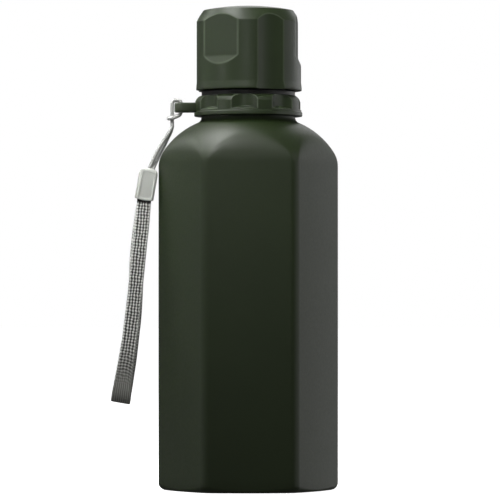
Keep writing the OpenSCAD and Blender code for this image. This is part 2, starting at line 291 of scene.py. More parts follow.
def hexagon_radius(theta, half_w, corner_r):
    """Polar radius of a six-sided outline with round corners, one of them at angle 0."""
    sixth = math.pi / 6
    off = np.abs((theta + sixth) % (2 * sixth) - sixth)
    reach = half_w - corner_r
    flat_d = reach * math.cos(sixth) + corner_r
    edge = math.atan2(corner_r * math.sin(sixth), reach + corner_r * math.cos(sixth))
    inside = np.maximum(corner_r**2 - (reach * np.sin(off)) ** 2, 0)
    on_corner = reach * np.cos(off) + np.sqrt(inside)
    return np.where(off < edge, on_corner, flat_d / np.cos(sixth - off))


def shoulder_outline():
    """Silhouette from the neck to the top of the sides, and the height of the neck's step."""
    low_cx = HALF_W - LOW_R
    turn = math.radians(LOW_TURN)
    high_cx = low_cx + (LOW_R - HIGH_R) * math.cos(turn)
    high_cz = SIDE_H + (LOW_R - HIGH_R) * math.sin(turn)
    fillet_cx = NECK_R + NECK_FILLET
    high_turn = math.degrees(math.acos((fillet_cx - high_cx) / (HIGH_R + NECK_FILLET)))
    fillet_cz = high_cz + (HIGH_R + NECK_FILLET) * math.sin(math.radians(high_turn))
    return np.array(
        [(NECK_R, fillet_cz + STEP_FOOT)]
        + arc(fillet_cx, fillet_cz, NECK_FILLET, 180, 180 + high_turn, 10)
        + arc(high_cx, high_cz, HIGH_R, high_turn, LOW_TURN, 60)[1:]
        + arc(low_cx, SIDE_H, LOW_R, LOW_TURN, 0, 16)[1:]
    ), fillet_cz + STEP_TOP


def make_body():
    theta = columns(720)
    hexagon = hexagon_radius(theta, HALF_W, CORNER_R)
    to_corner = (hexagon - FLAT_D) / (HALF_W - FLAT_D)
    hexagon = hexagon + BOW * np.clip(1 - BOW_FALL * to_corner, 0, 1)
    shoulder, step_z = shoulder_outline()

    neck = [(NECK_LIP_R, LIP_Z), (NECK_CORE_R, LIP_Z), (NECK_CORE_R, step_z)]
    neck = dense(filleted(neck), 0.2)
    neck_r, neck_z = neck[:, :1], neck[:, 1:]
    thread_z = (step_z + NECK_THREAD_MARGIN, LIP_Z - NECK_THREAD_MARGIN)
    ridge = thread_ridge(theta, neck_z, *thread_z, THREAD_PITCH, NECK_THREAD_H)
    step = [(NECK_CORE_R, step_z), (NECK_R, step_z, STEP_EDGE), (NECK_R, shoulder[0, 1])]
    step = filleted(step)[1:]

    sides = [(HALF_W, z) for z in SIDE_LEVELS]
    outline = np.vstack([step, shoulder, sides])
    crease = CREASE + ARCH_BLEND * ramp(outline[:, 1:] - ARCH_Z, ARCH_RISE)
    crease = crease * np.clip(1 - to_corner, LEAST_CREASE, 1)
    radius = smooth_min(outline[:, :1], hexagon, crease)
    height = outline[:, 1:] + 0 * theta

    base_r = FOOT_ROUND + FOOT_CORNER * to_corner
    bend = np.radians(np.linspace(0, 90, 9))[:, None]
    base_radius = hexagon - base_r * (1 - np.cos(bend))
    base_height = base_r * (1 - np.sin(bend))
    foot = base_radius[-1:]
    rim_radius = np.vstack([foot * 0.5 + HALF_RIM, RIM_R + 0 * theta, BASE_HOLE_R + 0 * theta])
    rim_height = np.array([[0.0], [0.0], [RIM_CHAMFER]]) + 0 * theta

    outer_r = np.vstack([neck_r + ridge, radius, base_radius, rim_radius])
    outer_z = np.vstack([neck_z + 0 * theta, height, base_height, rim_height])
    inner_r = np.vstack([BASE_HOLE_R + 0 * theta, (radius - WALL)[::-1], NECK_BORE_R + 0 * theta])
    inner_z = np.vstack([WALL + 0 * theta, height[::-1], LIP_Z + 0 * theta])
    inner_z[1:-1] = np.maximum(inner_z[1:-1], WALL)
    rows = polar_rows(np.vstack([outer_r, inner_r]), np.vstack([outer_z, inner_z]), theta)
    body = grid_piece("bottle_body", rows, closed_rows=True)
    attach(body, "bottle")
    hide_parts("outer_shell")
    return body


# --- Mouthpiece ---

SPOUT_CREST_R, SPOUT_THREAD_H, SPOUT_THREAD_TOP = 17.2, 0.8, 13.4
SPOUT_LIP_R, BORE_R, SKIRT_BORE_R = 15.6, 13.9, 19.3
SEAT_GAP, SEAT_T = 0.3, 2


def make_mouthpiece():
    theta = columns(360)
    skirt_z, seat_z = spout_lo[2], CAP_Z - SEAT_GAP
    web_z = seat_z - SEAT_T
    thread_z = seat_z + SPOUT_THREAD_TOP
    core = SPOUT_CREST_R - SPOUT_THREAD_H
    threaded = dense(np.array([(core, seat_z + 0.4), (core, thread_z)]), 0.2)
    ridge = thread_ridge(
        theta, threaded[:, 1:], seat_z + 0.9, thread_z, THREAD_PITCH, SPOUT_THREAD_H
    )
    below = filleted([
        (SKIRT_BORE_R, skirt_z), (SKIRT_R, skirt_z, 0.2), (SKIRT_R, seat_z, 0.3),
        (core, seat_z, 0.25), (core, seat_z + 0.4),
    ])[:-1]
    above = filleted([
        (core, thread_z), (SPOUT_LIP_R, thread_z + 1.2, 0.4), (SPOUT_LIP_R, SPOUT_Z, 0.6),
        (BORE_R, SPOUT_Z, 0.5), (BORE_R, web_z, 0.2), (SKIRT_BORE_R, web_z),
    ])[1:]
    outline = np.vstack([below, threaded, above])
    radius = outline[:, :1] + 0 * theta
    radius[len(below) : len(below) + len(threaded)] += ridge
    rows = polar_rows(radius, outline[:, 1:], theta)
    piece = grid_piece("mouthpiece_spout", rows, closed_rows=True)
    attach(piece, "mouthpiece")
    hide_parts("mouthpiece")
    return piece


# --- Ring with finger hollows and the strap eye ---

RING_R, RING_LIP_R = 23.1, 23.5
RING_DOME_R = 3.4
HOLLOW_COUNT, HOLLOW_R, HOLLOW_RUN, HOLLOW_TURN = 8, 9.35, 1.1, -95.5
HOLLOW_FLOOR, HOLLOW_GAP, HOLLOW_SKIN = 2.6, 0.1, 0.05
LEDGE_BLEND, HOLLOW_BLEND = 0.25, 0.3
EYE_W, EYE_BAR, EYE_SLOT_X, EYE_SLOT_Y = 9.0, 1.8, 4.2, 4.6
EYE_Z, EYE_H = 166.0, 4.1
EYE_EDGE, EYE_TIP_R, EYE_SLOT_R = 0.75, 1.5, 0.8


def groove_radius(theta, angle, distance, groove_r):
    """Polar radius of the near side of an upright round groove, or a huge one beside it."""
    off = (theta - angle + math.pi) % FULL_TURN - math.pi
    inside = groove_r**2 - (distance * np.sin(off)) ** 2
    near = distance * np.cos(off) - np.sqrt(np.maximum(inside, 0))
    return np.where((inside > 0) & (np.abs(off) < 1), near, FAR)


def ring_outline():
    """Outside and inside of the ring's section, before the hollows are cut."""
    side_z, top_z = RING_Z + 6.25, RING_Z + 9.0
    inner_r, skirt_z = NECK_R + 0.35, RING_Z + 1.5
    dome = arc(RING_R - RING_DOME_R, side_z - 0.6, RING_DOME_R, 24, 70, 8)
    outside = filleted(
        [
            (inner_r, RING_Z), (RING_LIP_R, RING_Z, 0.3), (RING_LIP_R, RING_Z + 1.6, 0.25),
            (RING_R, RING_Z + 1.9, 0.2), (RING_R, side_z, 0.3), dome[0],
        ]
    )
    inside = np.array([(SKIRT_R + 0.03, top_z), (SKIRT_R + 0.03, skirt_z), (inner_r, skirt_z)])
    return dense(np.vstack([outside, dome[1:]]), 0.13), inside


def make_ring():
    """The ring, with how near each point is to an edge, where a highlight is painted, as its first
    pattern value.
    """
    theta = columns(1080)
    outside, inside = ring_outline()
    radius, height = outside[:, :1] + 0 * theta, outside[:, 1:]
    distance = SKIRT_R + HOLLOW_R + HOLLOW_GAP
    floor_z = RING_Z + HOLLOW_FLOOR
    ledge = RING_R + 0.1 - (height - floor_z) * (RING_R - SKIRT_R) / HOLLOW_RUN
    edge_highlight = 0 * radius
    for i in range(1, HOLLOW_COUNT):
        angle = math.radians(270 + HOLLOW_TURN + i * 360 / HOLLOW_COUNT)
        cut = groove_radius(theta, angle, distance, HOLLOW_R)
        cut = -smooth_min(-cut, -ledge, LEDGE_BLEND)
        # Painted highlight along the edges of each hollow.
        edge_highlight = np.maximum(edge_highlight, near_edge(radius, cut, EDGE_HIGHLIGHT_WIDTH))
        radius = smooth_min(radius, np.maximum(cut, SKIRT_R + HOLLOW_SKIN), HOLLOW_BLEND)
    rows = np.concatenate(
        [
            polar_rows(radius, height, theta),
            polar_rows(inside[:, :1] + 0 * theta, inside[:, 1:], theta),
        ]
    )
    uvs = np.zeros(rows.shape[:2] + (2,))
    uvs[: len(edge_highlight), :, 0] = edge_highlight
    ring = grid_piece("finger_ring", rows, closed_rows=True, uvs=uvs)
    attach(ring, "mouthpiece")
    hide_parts("collar_ring")
    return ring


def make_eye():
    """The strap eye: a flat tab with rounded edges and a slot, drawn as a filled curve."""
    x0, x1 = EYE_END_X, -(SKIRT_R + 0.9)
    half = EYE_W / 2
    outer = [(x1, -half)] + [
        (
            x0 + EYE_TIP_R + EYE_TIP_R * math.cos(a),
            s * (half - EYE_TIP_R) + EYE_TIP_R * math.sin(a),
        )
        for s, start in ((-1, 270), (1, 180))
        for a in np.radians(np.linspace(start, start - 90, 7))
    ] + [(x1, half)]
    slot_r = EYE_SLOT_R
    sx0, sx1, sy = x0 + EYE_BAR, x0 + EYE_BAR + EYE_SLOT_X, EYE_SLOT_Y / 2
    slot = [
        (cx + slot_r * math.cos(a), cy + slot_r * math.sin(a))
        for cx, cy, start in (
            (sx0 + slot_r, -sy + slot_r, 270), (sx0 + slot_r, sy - slot_r, 180),
            (sx1 - slot_r, sy - slot_r, 90), (sx1 - slot_r, -sy + slot_r, 360),
        )
        for a in np.radians(np.linspace(start, start - 90, 6))
    ]
    curve = bpy.data.curves.new("strap_eye", "CURVE")
    curve.dimensions = "2D"
    curve.fill_mode = "BOTH"
    curve.extrude = (EYE_H / 2 - EYE_EDGE) * MM
    curve.bevel_depth = EYE_EDGE * MM
    curve.bevel_resolution = 3
    curve.offset = -EYE_EDGE * MM
    for outline in (outer, slot):
        spline = curve.splines.new("POLY")
        spline.points.add(len(outline) - 1)
        for point, (x, y) in zip(spline.points, outline):
            point.co = (x * MM, y * MM, 0, 1)
        spline.use_cyclic_u = True
    holder = bpy.data.objects.new("strap_eye_curve", curve)
    bpy.context.collection.objects.link(holder)
    holder.location.z = EYE_Z * MM
    bpy.context.view_layer.update()
    graph = bpy.context.evaluated_depsgraph_get()
    mesh = bpy.data.meshes.new_from_object(holder.evaluated_get(graph))
    mesh.transform(holder.matrix_world)
    bpy.data.objects.remove(holder)
    mesh.name = "strap_eye"
    eye = bpy.data.objects.new("strap_eye", mesh)
    bpy.context.collection.objects.link(eye)
    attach(eye, "mouthpiece")
    return eye


# --- Cap ---

CAP_R, CAP_BEVEL, CAP_BEVEL_H, CROWN_H = 22.95, 3.4, 7.05, 1.9
GRIP_D, GRIP_COUNT, FLAT_TURN, FLUTE_R = 21.2, 3, -35.2, 22.8
FLAT_FLOOR_Z, FLAT_SLOPE = CAP_Z + 14.5, 0.5
GRIP_BLEND, RUN_OUT_BLEND = 0.35, 0.3
# How strongly the edges of the flats and of the flutes get a painted highlight.
FLAT_EDGE_HIGHLIGHT, FLUTE_EDGE_HIGHLIGHT = 0.6, 0.4
# A flat is cut only where the outline faces it, which is where this cosine is passed.
FACING = 0.5
CAP_BORE_R, CAP_ROOF_R, CAP_STEP_H, CAP_ROOF_T = 19.6, 17.6, 23.9, 4.3


def make_cap():
    """The cap, with how near each point is to an edge, where a highlight is painted, as its first
    pattern value.
    """
    theta = columns(900)
    bevel_z = CAP_TOP_Z - CAP_BEVEL_H
    top_r = CAP_R - CAP_BEVEL
    step_z, roof_z = CAP_Z + CAP_STEP_H, CAP_TOP_Z - CAP_ROOF_T
    inside = filleted([
        (0.5, roof_z), (CAP_ROOF_R, roof_z, 0.5), (CAP_ROOF_R, step_z), (CAP_BORE_R, step_z),
        (CAP_BORE_R, CAP_Z + 0.2),
    ])
    outside = filleted(
        [
            (CAP_BORE_R, CAP_Z), (FLARE_R, CAP_Z, 0.35), (FLARE_R, CAP_Z + 1, 0.6),
            (CAP_R, CAP_Z + 3.5, 6), (CAP_R, bevel_z, 0.7), (top_r, CAP_TOP_Z - CROWN_H, 0.7),
            (top_r - 3, CAP_TOP_Z - CROWN_H + 0.54),
        ]
    )
    outside = dense(outside, 0.22)
    crown_r = (top_r**2 + CROWN_H**2) / (2 * CROWN_H)
    crown = np.array([
        (x, CAP_TOP_Z - crown_r + math.sqrt(crown_r**2 - x * x))
        for x in np.linspace(top_r - 4, 0.5, 12)
    ])
    radius, height = outside[:, :1] + 0 * theta, outside[:, 1:]
    edge_highlight = 0 * radius
    slope = FLAT_SLOPE * (FLAT_FLOOR_Z - height)
    run_out = -smooth_min(-slope, 0 * slope, RUN_OUT_BLEND)
    for i in range(GRIP_COUNT):
        flat = math.radians(270 + FLAT_TURN + i * 360 / GRIP_COUNT)
        flute = flat + math.pi / GRIP_COUNT
        facing = np.cos(theta - flat)
        flat_cut = (GRIP_D + run_out) / np.maximum(facing, FACING)
        flat_cut = np.where(facing > FACING, flat_cut, FAR)
        flute_cut = groove_radius(theta, flute, GRIP_D + FLUTE_R, FLUTE_R)
        # Painted highlight along the edge of each cut.
        for cut, highlight_share in ((flat_cut, FLAT_EDGE_HIGHLIGHT), (flute_cut, FLUTE_EDGE_HIGHLIGHT)):
            edge_highlight = np.maximum(edge_highlight, highlight_share * near_edge(radius, cut, EDGE_HIGHLIGHT_WIDTH))
            radius = smooth_min(radius, cut, GRIP_BLEND)
    rows = np.concatenate(
        [
            polar_rows(inside[:, :1] + 0 * theta, inside[:, 1:], theta),
            polar_rows(radius, height, theta),
            polar_rows(crown[:, :1] + 0 * theta, crown[:, 1:], theta),
        ]
    )
    uvs = np.zeros(rows.shape[:2] + (2,))
    uvs[len(inside) : len(inside) + len(edge_highlight), :, 0] = edge_highlight
    cap = grid_piece("screw_cap", rows, uvs=uvs)
    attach(cap, "cap")
    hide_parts("cap_shell")
    return cap


# --- Wrist strap ---

# The round cord, and how far its braid takes to go once round it. The bundles stand BRAID_BUMP
# of the radius above BRAID_CORE.
CORD_D, BRAID_LAY, BRAID_CORE, BRAID_BUMP = 1.6, 3.2, 0.93, 0.10
# The webbing: its thickness, mesh cells across it, length of a cell, ribs for each cell near the
# fold, and how far the rows of cells bend down on the right there.
WEB_T, WEB_COLUMNS, WEB_ROW, WEB_RIBS, WEB_ARC = 0.9, 5, 1.32, 1.8, 1.1
# How far from the fold the ribs start to fade out, and over what length. Then the same for the
# bent rows.
RIB_ZONE, RIB_FADE, ARC_ZONE, ARC_FADE = 9, 8, 15, 14
CLASP_W, CLASP_D, CLASP_H, CLASP_SHOULDER = 8.2, 5.4, 13.6, 2.6
CLASP_LEAN, CLASP_SAG, CLASP_RECESS = 10, 0.6, 0.22
CLASP_CAVITY = (3.4, 1.9)
# Chamfers of the clasp along X and Y, on its left and on its right.
CLASP_CHAMFERS = {-1: (1.4, 0.9), 1: (0.7, 0.5)}
# Routes in millimetres, as in the CAD source. The webbing's have its width as a fourth number.
HITCH = [
    (-33.1, -0.9, 158.4), (-33.1, -0.9, 161), (-33.1, -0.9, 165), (-33.1, -0.9, 167.4),
    (-32.85, -0.9, 168.55), (-31.95, -0.9, 169.15), (-30.8, -0.9, 169.15), (-29.8, -0.9, 168.9),
    (-29.3, -0.9, 168), (-29.3, -1, 165.6), (-29.35, -1.3, 163.8), (-30.1, -2, 162.6),
    (-31.6, -2.5, 161.8), (-33.1, -2.6, 161.3), (-34.3, -1.9, 161.1), (-34.7, 0, 161.3),
    (-34.3, 1.9, 161.6), (-33.1, 2.6, 161.9), (-31.6, 2.5, 162.3), (-30.1, 2, 162.7),
    (-29.35, 1.3, 163.8), (-29.3, 1, 165.6), (-29.3, 0.9, 168), (-29.8, 0.9, 168.9),
    (-30.8, 0.9, 169.15), (-31.95, 0.9, 169.15), (-32.85, 0.9, 168.55), (-33.1, 0.9, 167.4),
    (-33.1, 0.9, 165), (-33.1, 0.9, 161), (-33.1, 0.9, 158.4),
]
STRAND_FRONT = [
    (-33.1, -0.9, 157.6), (-34.4, -0.9, 155.2), (-36.5, -0.9, 152), (-38.4, -0.9, 149),
    (-40, -0.8, 146), (-41.4, -0.6, 143), (-42.4, -0.3, 140.8), (-43.15, 0, 138.9),
    (-43.95, 0, 135.4),
]
STRAND_REAR = [
    (-33.1, 0.9, 157.6), (-33.8, 0.9, 155.2), (-35.4, 1, 152), (-36.8, 1, 149), (-38.5, 0.9, 146),
    (-39.8, 0.7, 143), (-40.8, 0.4, 140.8), (-41.45, 0, 138.9), (-42.25, 0, 135.4),
]
WEBBING = [
    (-44.25, -1.1, 132.2, 6), (-44.8, -1.1, 129, 6), (-45.3, -1.1, 125.4, 6.1),
    (-45.7, -1.6, 121, 6.3), (-46.3, -2.1, 114, 6.4), (-47.2, -2.4, 106, 6.4),
    (-48.2, -2.6, 96, 6.4), (-49.2, -2.8, 86, 6.4), (-50.3, -3.2, 76, 6.5), (-51.6, -3.8, 66, 6.6),
    (-52.9, -4.4, 57, 6.9), (-53.9, -4.8, 50, 7.4), (-54.6, -4.5, 45, 7.9),
    (-55.1, -3.6, 41.6, 8.2), (-55.4, -1.9, 39, 8.4), (-55.5, 0, 38.1, 8.4), (-55.3, 1.9, 39, 8.4),
    (-54.9, 3.6, 41.6, 8.2), (-54.2, 4.5, 45, 7.9), (-53.2, 4.8, 50, 7.4), (-51.9, 4.4, 57, 6.9),
    (-50.7, 3.8, 66, 6.6), (-49.6, 3.2, 76, 6.5), (-49, 2.8, 86, 6.4), (-48.6, 2.6, 96, 6.4),
    (-47.9, 2.4, 106, 6.4), (-46.9, 2.1, 114, 6.4), (-45.9, 1.6, 121, 6.3),
    (-45.3, 1.1, 125.4, 6.1), (-44.8, 1.1, 129, 6), (-44.25, 1.1, 132.2, 6),
]


def smooth_route(route, step):
    """Points every step along a smooth curve through a route, and how far along each one lies."""
    points = np.array(route, float)
    padded = np.vstack([2 * points[0] - points[1], points, 2 * points[-1] - points[-2]])
    t = np.linspace(0, 1, 25)[:-1, None]
    pieces = []
    for a, b, c, d in zip(padded, padded[1:], padded[2:], padded[3:]):
        square, cube = 2 * a - 5 * b + 4 * c - d, 3 * b - a - 3 * c + d
        pieces.append(0.5 * (2 * b + (c - a) * t + square * t**2 + cube * t**3))
    fine = np.vstack(pieces + [points[-1:]])
    lengths = np.linalg.norm(np.diff(fine[:, :3], axis=0), axis=1)
    along = np.concatenate([[0], np.cumsum(lengths)])
    stops = np.linspace(0, along[-1], int(along[-1] / step) + 1)
    smooth = [np.interp(stops, along, fine[:, k]) for k in range(fine.shape[1])]
    return np.stack(smooth, axis=1), stops


def unit(v):
    """Vectors of length 1 in the same directions."""
    return v / np.linalg.norm(v, axis=-1, keepdims=True)


def carried_sides(headings, side):
    """Side vectors along a route, each carried over from the one before without twisting."""
    sides = []
    for heading in headings:
        side = unit(side - heading * (heading @ side))
        sides.append(side)
    return np.array(sides)


def make_cord():
    """The round braided cord: up from the clasp, hitched over the eye's bar, and down again."""
    route = STRAND_FRONT[::-1] + HITCH + STRAND_REAR
    points, along = smooth_route(route, 0.14)
    headings = unit(np.gradient(points, axis=0))
    side = carried_sides(headings, np.array([0.0, 1.0, 0.0]))[:, None, :]
    other = np.cross(headings, side[:, 0])[:, None, :]
    turn = columns(28)[0][None, :]
    lay = along[:, None] * FULL_TURN / BRAID_LAY
    braid = np.abs(np.sin(2 * turn + lay * 2)) * np.abs(np.sin(2 * turn - lay * 2))
    radius = (CORD_D / 2 * (BRAID_CORE + BRAID_BUMP * np.sqrt(braid)))[:, :, None]
    spokes = side * np.cos(turn)[:, :, None] + other * np.sin(turn)[:, :, None]
    rows = points[:, None, :] + radius * spokes
    uvs = np.stack(np.broadcast_arrays(turn / FULL_TURN, along[:, None] / BRAID_LAY), axis=-1)
    cord = grid_piece("wrist_cord", rows, uvs=uvs)
    path = (points[::4] * MM).tolist()
    return cord, path, float(along[-1]) * MM


def make_webbing():
    """The flat woven loop: front layer down, round the fold and up the rear layer."""
    points, along = smooth_route(WEBBING, 0.15)
    centre, width = points[:, :3], points[:, 3]
    lean = math.radians(CLASP_LEAN)
    headings = unit(np.gradient(centre, axis=0))
    across = np.array([math.cos(lean), 0, -math.sin(lean)])
    side = unit(across - headings * (headings @ across)[:, None])
    out = np.cross(headings, side)
    n = 48
    u = np.concatenate([np.linspace(-1, 1, n), np.linspace(1, -1, n)])[None, :]
    face = np.concatenate([np.ones(n), -np.ones(n)])[None, :]
    from_fold = np.abs(along - along[-1] / 2)[:, None]
    rib_zone = 1 - ramp(from_fold - RIB_ZONE, RIB_FADE)
    arc_zone = 1 - ramp(from_fold - ARC_ZONE, ARC_FADE)
    cell_u = (u + 1) * 0.5 * WEB_COLUMNS + 0 * from_fold
    cell_v = along[:, None] / WEB_ROW - arc_zone * WEB_ARC * np.maximum(u, 0) ** 2
    knot = 0.5 - 0.25 * (np.cos(FULL_TURN * cell_u) + np.cos(FULL_TURN * cell_v))
    rib = 0.5 - 0.5 * np.cos(FULL_TURN * WEB_RIBS * cell_u)
    edge = np.sqrt(np.clip(1 - np.abs(u) ** 8, 0, 1))
    relief = (1 - rib_zone) * (0.62 + 0.5 * knot) + rib_zone * (0.75 + 0.2 * rib)
    thick = WEB_T / 2 * (0.25 + 0.75 * edge) * relief
    rows = (
        centre[:, None, :]
        + side[:, None, :] * (u * width[:, None] / 2)[:, :, None]
        + out[:, None, :] * (thick * face)[:, :, None]
    )
    uvs = np.stack(np.broadcast_arrays(cell_u, along[:, None] / WEB_ROW), axis=-1)
    webbing = grid_piece("wrist_webbing", rows, uvs=uvs)
    return webbing, (centre[::6] * MM).tolist(), float(along[-1]) * MM


def clasp_section(half_x, half_y):
    """Outline of the clasp seen from above: a rectangle with flat, softly edged corners."""
    corners = []
    for sx, sy in ((1, 1), (-1, 1), (-1, -1), (1, -1)):
        cx, cy = CLASP_CHAMFERS[sx]
        pair = [(sx * half_x, sy * (half_y - cy), 0.25), (sx * (half_x - cx), sy * half_y, 0.25)]
        corners += pair if sx * sy > 0 else pair[::-1]
    outline = filleted(corners, segments=3)
    return dense(np.vstack([outline, outline[:1]]), 0.15)[:-1]


def make_clasp():
    """The clasp: open below, rounded off above, with a recessed face on its front and its back."""
    half_w, half_d, half_h = CLASP_W / 2, CLASP_D / 2, CLASP_H / 2
    base = clasp_section(half_w, half_d)
    sag = CLASP_SAG * (1 - (base[:, 0] / half_w) ** 2)

    def level(z, grow=(1, 1)):
        return np.column_stack([base * grow, np.full(len(base), z)])

    cavity = (CLASP_CAVITY[0] / half_w, CLASP_CAVITY[1] / half_d)
    rows = [level(half_h - 1.6, cavity), level(0.3 - half_h, cavity)]
    for grow, z in ((0.86, 0.08), (0.93, 0), (0.985, 0.12), (1.0, 0.4)):
        rows.append(level(z - half_h, (grow, grow)))
    rows += [level(z) for z in np.linspace(0.6 - half_h, half_h - CLASP_SHOULDER, 44)]
    for a in np.radians(np.linspace(5, 88, 18)):
        narrow = 1 - CLASP_SHOULDER / half_w * (1 - math.cos(a))
        flat = 1 - 1.1 / half_d * (1 - math.cos(a))
        rows.append(level(half_h - CLASP_SHOULDER * (1 - math.sin(a)), (narrow, flat)))
    rows = np.array(rows)

    x, y, z = rows[..., 0], rows[..., 1], rows[..., 2]
    top = half_h - 1.5 - 0.09 * x**2
    rim = 0.35 + np.where(x < 0, CLASP_CHAMFERS[-1][0], CLASP_CHAMFERS[1][0])
    inside = np.minimum(half_w - rim - np.abs(x), np.minimum(top - z, z + half_h - 0.95))
    faces = np.abs(y) > half_d - 0.5
    faces[:3] = False
    rows[..., 1] -= np.sign(y) * faces * CLASP_RECESS * ramp(inside, 0.3)
    rows[1:, :, 2] -= ramp(0.5 - z[1:], half_h) * sag

    lean = math.radians(CLASP_LEAN)
    turned = rows.copy()
    turned[..., 0] = rows[..., 0] * math.cos(lean) + rows[..., 2] * math.sin(lean)
    turned[..., 2] = -rows[..., 0] * math.sin(lean) + rows[..., 2] * math.cos(lean)
    reach_x = half_w * math.cos(lean) + half_h * math.sin(lean)
    reach_z = half_w * math.sin(lean) + half_h * math.cos(lean)
    clasp = grid_piece("strap_clasp", turned + clasp_lo + [reach_x, half_d, reach_z])
    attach(clasp, "strap")
    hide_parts("clasp_housing")
    return clasp


clasp = make_clasp()
cord, cord_path, cord_length = make_cord()
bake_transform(cord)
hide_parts("strap_hitch", "strap_cord")

webbing, web_path, web_length = make_webbing()
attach(webbing, "strap")
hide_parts("strap_webbing")

body = make_body()
spout = make_mouthpiece()
ring = make_ring()
eye = make_eye()
cap = make_cap()


# --- Materials ---

# Noise stays mostly between these two values.
NOISE_LOW, NOISE_HIGH = 0.3, 0.7


def srgb(red, green, blue):
    """Linear colour, with alpha, of a screen colour whose parts go from 0 to 255."""
    parts = [c / 255 for c in (red, green, blue)]
    return tuple(c / 12.92 if c < 0.04045 else ((c + 0.055) / 1.055) ** 2.4 for c in parts) + (1,)


class Shader:
    """A node material whose nodes are added one line each.

    An input is set by its name, or by its number, as _0, where several share a name. A value that
    is a socket is linked, and any other is set.
    """

    def __init__(self, name, base, roughness, **settings):
        self.material = bpy.data.materials.new(name)
        self.material.use_nodes = True
        self.tree = self.material.node_tree
        self.surface = self.tree.nodes["Principled BSDF"]
        self.surface.inputs["Base Color"].default_value = base
        self.surface.inputs["Roughness"].default_value = roughness
        for key, value in settings.items():
            self.surface.inputs[key.replace("_", " ")].default_value = value
        self.where = self.tree.nodes.new("ShaderNodeTexCoord")

    def add(self, kind, settings=None, **inputs):
        node = self.tree.nodes.new("ShaderNode" + kind)
        for key, value in (settings or {}).items():
            setattr(node, key, value)
        for key, value in inputs.items():
            slot = node.inputs[int(key[1:]) if key[0] == "_" else key.replace("_", " ")]
            if isinstance(value, bpy.types.NodeSocket):
                self.tree.links.new(value, slot)
            else:
                slot.default_value = value
        return node

    def math(self, operation, *values):
        inputs = {f"_{i}": v for i, v in enumerate(values)}
        return self.add("Math", {"operation": operation}, **inputs).outputs[0]

    def noise(self, scale, detail=2, roughness=0.5, vector=None):
        vector = vector or self.where.outputs["Object"]
        node = self.add("TexNoise", Vector=vector, Scale=scale, Detail=detail, Roughness=roughness)
        return node.outputs["Fac"]

    def map(self, value, low, high, out_low, out_high):
        node = self.add("MapRange", _0=value, _1=low, _2=high, _3=out_low, _4=out_high)
        return node.outputs["Result"]

    def mix(self, share, first, second):
        return self.add("Mix", {"data_type": "RGBA"}, _0=share, _6=first, _7=second).outputs[2]

    def patches(self, scale, low, high, detail=2):
        """Soft noise spread over low to high."""
        return self.map(self.noise(scale, detail), NOISE_LOW, NOISE_HIGH, low, high)

    def pattern(self):
        """The two values of the piece's "pattern" UV."""
        uv = self.add("UVMap", {"uv_map": "pattern"}).outputs[0]
        return self.add("SeparateXYZ", Vector=uv).outputs[:2]

    def colour(self, socket):
        self.tree.links.new(socket, self.surface.inputs["Base Color"])

    def rough(self, socket):
        self.tree.links.new(socket, self.surface.inputs["Roughness"])

    def bump(self, height, strength, distance):
        node = self.add("Bump", Height=height, Strength=strength, Distance=distance)
        self.tree.links.new(node.outputs[0], self.surface.inputs["Normal"])


def tinted(base, factor):
    """The colour made darker or lighter."""
    return tuple(c * factor for c in base[:3]) + (1,)


def powder_coat():
    """Matte powder coat: fine pebbled skin, faint cloudy tone."""
    base = srgb(32, 44, 16)
    s = Shader("powder_coat", base, 0.46, Specular_IOR_Level=0.5)
    s.colour(s.mix(s.patches(28, 0, 1, 3), tinted(base, 0.93), tinted(base, 1.07)))
    s.rough(s.patches(900, 0.43, 0.50))
    s.bump(s.noise(2600, 3, 0.6), 0.35, 0.00006)
    return s.material


def moulded_plastic(name, base, roughness, grain=3200, edge_highlight=None):
    """Satin moulded plastic with a fine texture. Its edges are lightened to the given colour, a painted
    highlight, if one is given.
    """
    s = Shader(name, base, roughness, Specular_IOR_Level=0.42)
    tone = s.mix(s.patches(60, 0, 1), tinted(base, 0.95), tinted(base, 1.05))
    if edge_highlight:
        # Painted highlight along the edges, lighter where the pattern's first value is high.
        tone = s.mix(s.pattern()[0], tone, edge_highlight)
    s.colour(tone)
    s.rough(s.patches(1200, roughness - 0.03, roughness + 0.04))
    s.bump(s.noise(grain, 2, 0.6), 0.25, 0.00004)
    return s.material


def brushed_steel():
    """Steel brushed round the bottle's axis."""
    base = srgb(196, 197, 199)
    s = Shader("brushed_steel", base, 0.32, Metallic=1.0)
    stretch = s.add("Mapping", Vector=s.where.outputs["Object"])
    stretch.inputs["Scale"].default_value = (1, 1, 40)
    lines = s.noise(160, 3, 0.7, stretch.outputs[0])
    tone = s.map(lines, NOISE_LOW, NOISE_HIGH, 0, 1)
    s.colour(s.mix(tone, tinted(base, 0.9), tinted(base, 1.05)))
    s.rough(s.map(lines, NOISE_LOW, NOISE_HIGH, 0.26, 0.42))
    s.bump(lines, 0.15, 0.00003)
    return s.material


def silicone():
    """Milky gasket rubber, slightly translucent."""
    base = srgb(214, 213, 206)
    s = Shader("silicone", base, 0.5, Subsurface_Weight=0.15)
    s.surface.inputs["Subsurface Scale"].default_value = 0.001
    s.rough(s.patches(700, 0.44, 0.56))
    s.bump(s.noise(1500), 0.1, 0.00003)
    s.colour(s.mix(s.patches(90, 0, 1), tinted(base, 0.96), base))
    return s.material


def foam():
    """Cream foam with small closed cells."""
    base = srgb(236, 232, 214)
    s = Shader("foam", base, 0.9)
    where = s.where.outputs["Object"]
    cells = s.add("TexVoronoi", Vector=where, Scale=1400.0).outputs["Distance"]
    s.colour(s.mix(s.map(cells, 0.0, 0.6, 0, 1), tinted(base, 0.85), base))
    s.bump(cells, 0.6, 0.0002)
    return s.material


